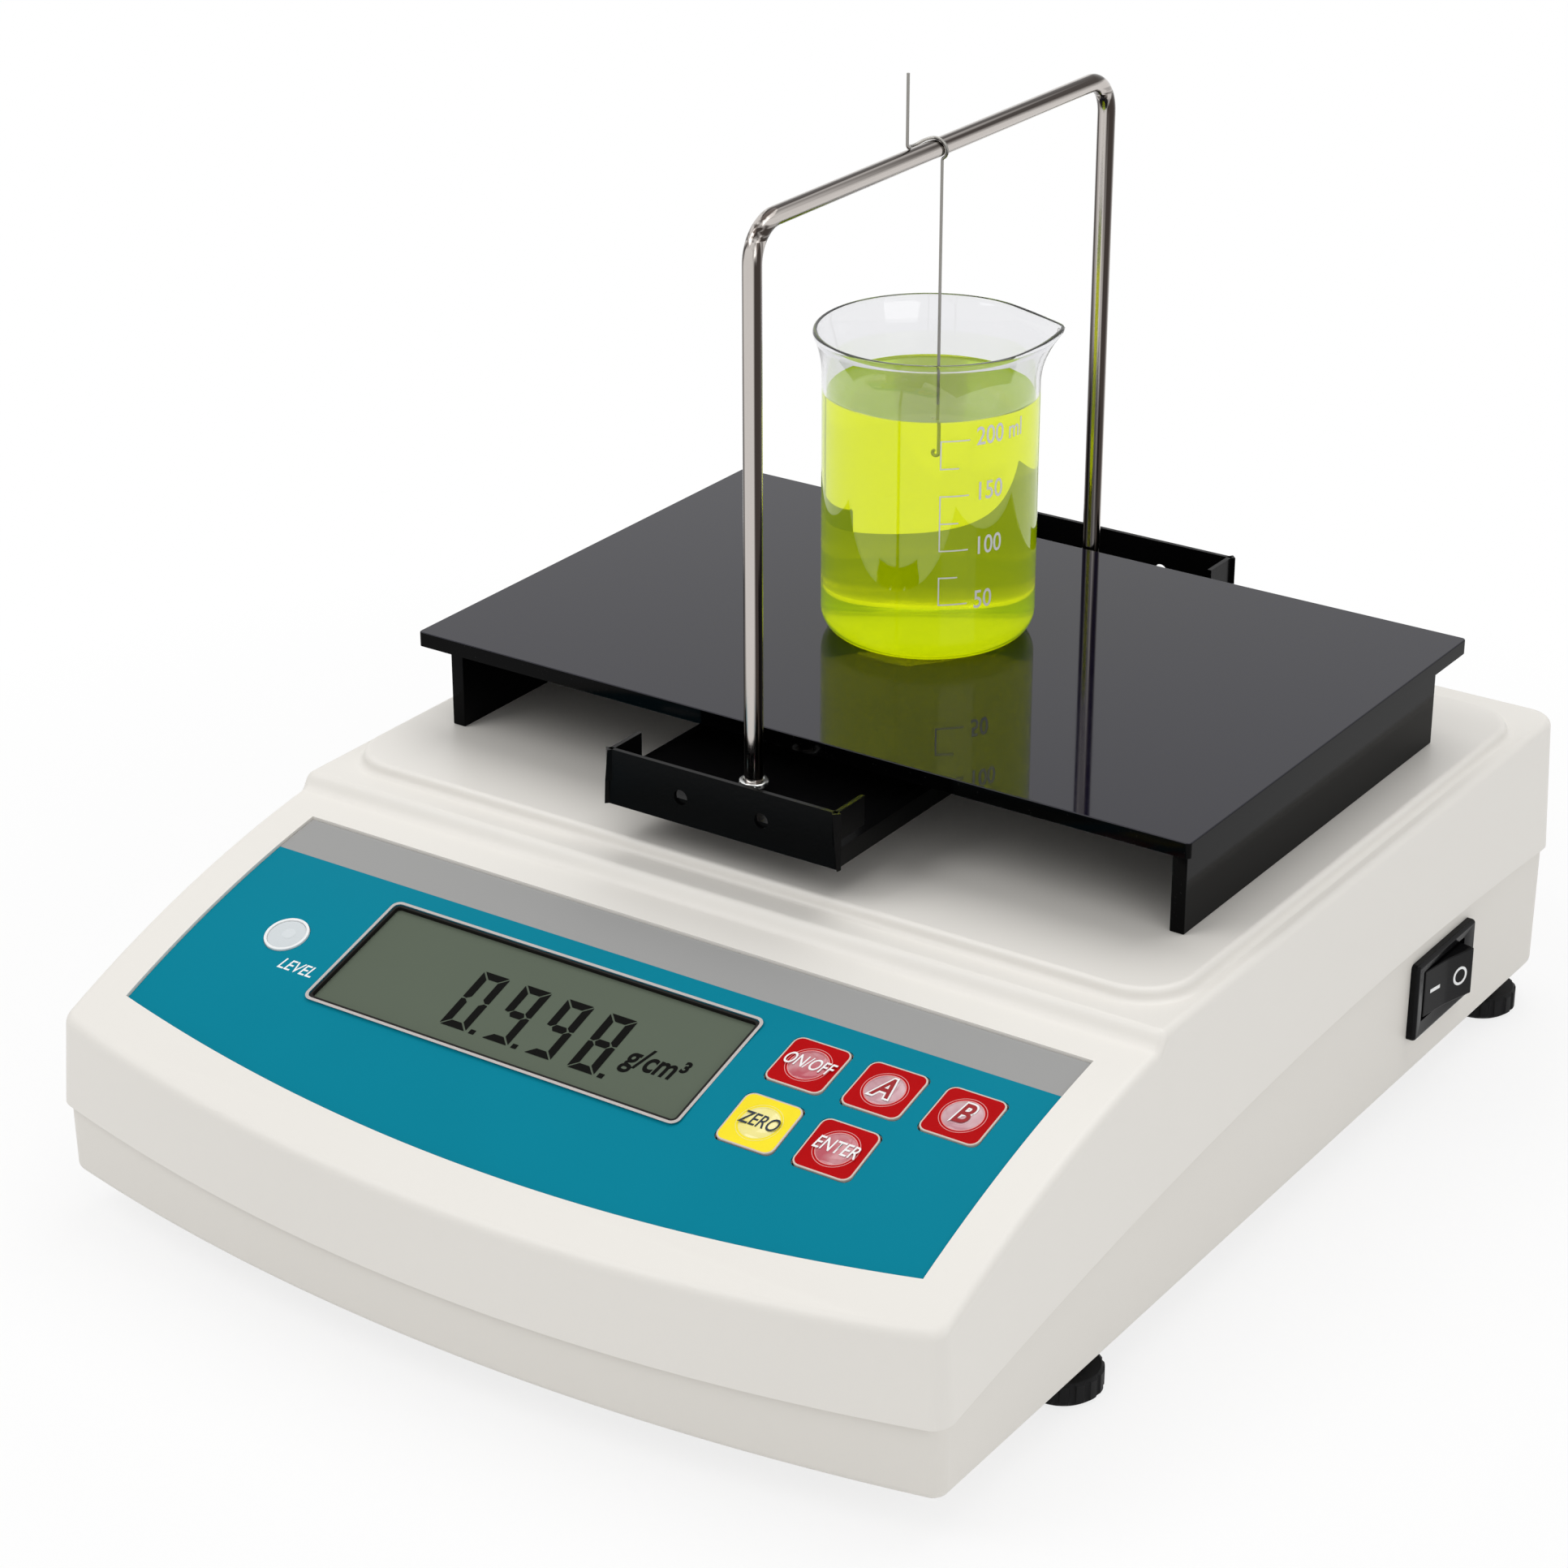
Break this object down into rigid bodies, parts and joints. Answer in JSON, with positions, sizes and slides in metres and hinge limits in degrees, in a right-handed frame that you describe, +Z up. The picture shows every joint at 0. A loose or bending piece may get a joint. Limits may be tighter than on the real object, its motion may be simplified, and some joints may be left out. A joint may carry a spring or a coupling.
{
  "type": "benchtop density meter",
  "caption": "Density balance: sloping keypad panel, low weighing tray with a tall rod frame and hook wire, and a black table that carries a beaker of liquid over the tray.",
  "frame": {"origin": "on the bench under the centre of the case plan", "axes": "+X to the right across the front, +Y to the back, +Z up"},
  "size_m": [0.3269, 0.415, 0.3377],
  "materials": {
    "cover": "fine texture, satin",
    "lower_case": "fine texture, satin",
    "overlay": "printed film, satin",
    "lens": "clear",
    "lcd": "dull reflective film",
    "level_window": "clear, glossy",
    "red_key": "soft, satin",
    "yellow_key": "soft, satin",
    "circuit_board": "glass fibre laminate",
    "black_plastic": "moulded",
    "screw": "zinc plated",
    "machined_aluminium": "machined",
    "rubber": "moulded",
    "black_tray": "powder coat, satin",
    "rod": "polished steel",
    "ring": "turned, bright",
    "wire": "drawn",
    "black_acrylic": "polished",
    "glass": "clear",
    "liquid": "clear yellow-green liquid",
    "switch_plastic": "moulded",
    "brass": "machined",
    "socket_shell": "plated shell",
    "foot_rubber": "moulded"
  },
  "bodies": {
    "housing": {"top_cover": "cover", "lower_case": "lower_case", "panel_overlay": "overlay", "lcd_window": "lens", "lcd_module": "lcd", "level_vial": "level_window", "display_board": "circuit_board", "push_switches": "black_plastic", "board_screws": "screw", "main_board": "circuit_board", "board_parts": "black_plastic", "load_cell": "machined_aluminium", "cell_base": "machined_aluminium", "cell_screws": "screw", "overload_stop": "screw", "switch_body": "switch_plastic", "foot_inserts": "brass", "case_screws": "screw", "power_jack": "switch_plastic", "serial_port": "socket_shell"},
    "weighing": {"pan_bridge": "machined_aluminium", "pan_carrier": "machined_aluminium", "buffers": "rubber", "weigh_tray": "black_tray", "rod_frame": "rod", "rod_rings": "ring", "rod_nuts": "screw"},
    "hook": {"hook_wire": "wire"},
    "table": {"table_top": "black_acrylic", "table_leg_left": "black_acrylic", "table_leg_right": "black_acrylic"},
    "glassware": {"beaker": "glass", "sample_liquid": "liquid"},
    "key_on_off_cap": {"key_on_off": "red_key"},
    "key_a_cap": {"key_a": "red_key"},
    "key_b_cap": {"key_b": "red_key"},
    "key_zero_cap": {"key_zero": "yellow_key"},
    "key_enter_cap": {"key_enter": "red_key"},
    "rocker": {"switch_rocker": "switch_plastic"},
    "stud_front_left": {"stud_front_left": "screw"},
    "wheel_front_left": {"wheel_front_left": "foot_rubber"},
    "stud_front_right": {"stud_front_right": "screw"},
    "wheel_front_right": {"wheel_front_right": "foot_rubber"},
    "stud_rear_left": {"stud_rear_left": "screw"},
    "wheel_rear_left": {"wheel_rear_left": "foot_rubber"},
    "stud_rear_right": {"stud_rear_right": "screw"},
    "wheel_rear_right": {"wheel_rear_right": "foot_rubber"}
  },
  "joints": [
    {"name": "load_cell_bend", "type": "slide", "parent": "housing", "child": "weighing", "axis": [0, 0, 1], "range_m": [-0.0004, 0], "stiffness_N_per_m": 60000, "springref_m": 0.0003, "deforming": ["load_cell"]},
    {"name": "hook_swing", "type": "hinge", "parent": "weighing", "child": "hook", "pos_m": [0, 0.0589, 0.3107], "axis": [0, 1, 0], "range_deg": [-8, 8], "deforming": ["sample_liquid"]},
    {"name": "table_lift_off", "type": "slide", "parent": "housing", "child": "table", "axis": [0, 0, 1], "range_m": [0, 0.03]},
    {"name": "beaker_lift_off", "type": "slide", "parent": "table", "child": "glassware", "axis": [0, 0, 1], "range_m": [0, 0.025]},
    {"name": "key_on_off_press", "type": "slide", "parent": "housing", "child": "key_on_off_cap", "axis": [0, 0.2518, -0.9678], "range_m": [0, 0.0004], "stiffness_N_per_m": 600, "springref_m": -0.0008},
    {"name": "key_a_press", "type": "slide", "parent": "housing", "child": "key_a_cap", "axis": [0, 0.2518, -0.9678], "range_m": [0, 0.0004], "stiffness_N_per_m": 600, "springref_m": -0.0008},
    {"name": "key_b_press", "type": "slide", "parent": "housing", "child": "key_b_cap", "axis": [0, 0.2518, -0.9678], "range_m": [0, 0.0004], "stiffness_N_per_m": 600, "springref_m": -0.0008},
    {"name": "key_zero_press", "type": "slide", "parent": "housing", "child": "key_zero_cap", "axis": [0, 0.3108, -0.9505], "range_m": [0, 0.0004], "stiffness_N_per_m": 600, "springref_m": -0.0008},
    {"name": "key_enter_press", "type": "slide", "parent": "housing", "child": "key_enter_cap", "axis": [0, 0.3108, -0.9505], "range_m": [0, 0.0004], "stiffness_N_per_m": 600, "springref_m": -0.0008},
    {"name": "power_rocker", "type": "hinge", "parent": "housing", "child": "rocker", "pos_m": [0.15431, 0.119, 0.04254], "axis": [0.0081, 0, 1], "range_deg": [0, 17]},
    {"name": "foot_rise_front_left", "type": "slide", "parent": "housing", "child": "stud_front_left", "axis": [0, 0, 1], "range_m": [-0.003, 0.002]},
    {"name": "foot_turn_front_left", "type": "hinge", "parent": "stud_front_left", "child": "wheel_front_left", "pos_m": [-0.148, -0.1005, 0.005], "axis": [0, 0, 1], "range_deg": [-1080, 720]},
    {"name": "foot_rise_front_right", "type": "slide", "parent": "housing", "child": "stud_front_right", "axis": [0, 0, 1], "range_m": [-0.003, 0.002]},
    {"name": "foot_turn_front_right", "type": "hinge", "parent": "stud_front_right", "child": "wheel_front_right", "pos_m": [0.148, -0.1005, 0.005], "axis": [0, 0, 1], "range_deg": [-1080, 720]},
    {"name": "foot_rise_rear_left", "type": "slide", "parent": "housing", "child": "stud_rear_left", "axis": [0, 0, 1], "range_m": [-0.003, 0.002]},
    {"name": "foot_turn_rear_left", "type": "hinge", "parent": "stud_rear_left", "child": "wheel_rear_left", "pos_m": [-0.148, 0.185, 0.005], "axis": [0, 0, 1], "range_deg": [-1080, 720]},
    {"name": "foot_rise_rear_right", "type": "slide", "parent": "housing", "child": "stud_rear_right", "axis": [0, 0, 1], "range_m": [-0.003, 0.002]},
    {"name": "foot_turn_rear_right", "type": "hinge", "parent": "stud_rear_right", "child": "wheel_rear_right", "pos_m": [0.148, 0.185, 0.005], "axis": [0, 0, 1], "range_deg": [-1080, 720]}
  ],
  "couplings": [
    {"joint": "foot_rise_front_left", "follows": "foot_turn_front_left", "m_per_rad": 0.00015915},
    {"joint": "foot_rise_front_right", "follows": "foot_turn_front_right", "m_per_rad": 0.00015915},
    {"joint": "foot_rise_rear_left", "follows": "foot_turn_rear_left", "m_per_rad": 0.00015915},
    {"joint": "foot_rise_rear_right", "follows": "foot_turn_rear_right", "m_per_rad": 0.00015915}
  ]
}
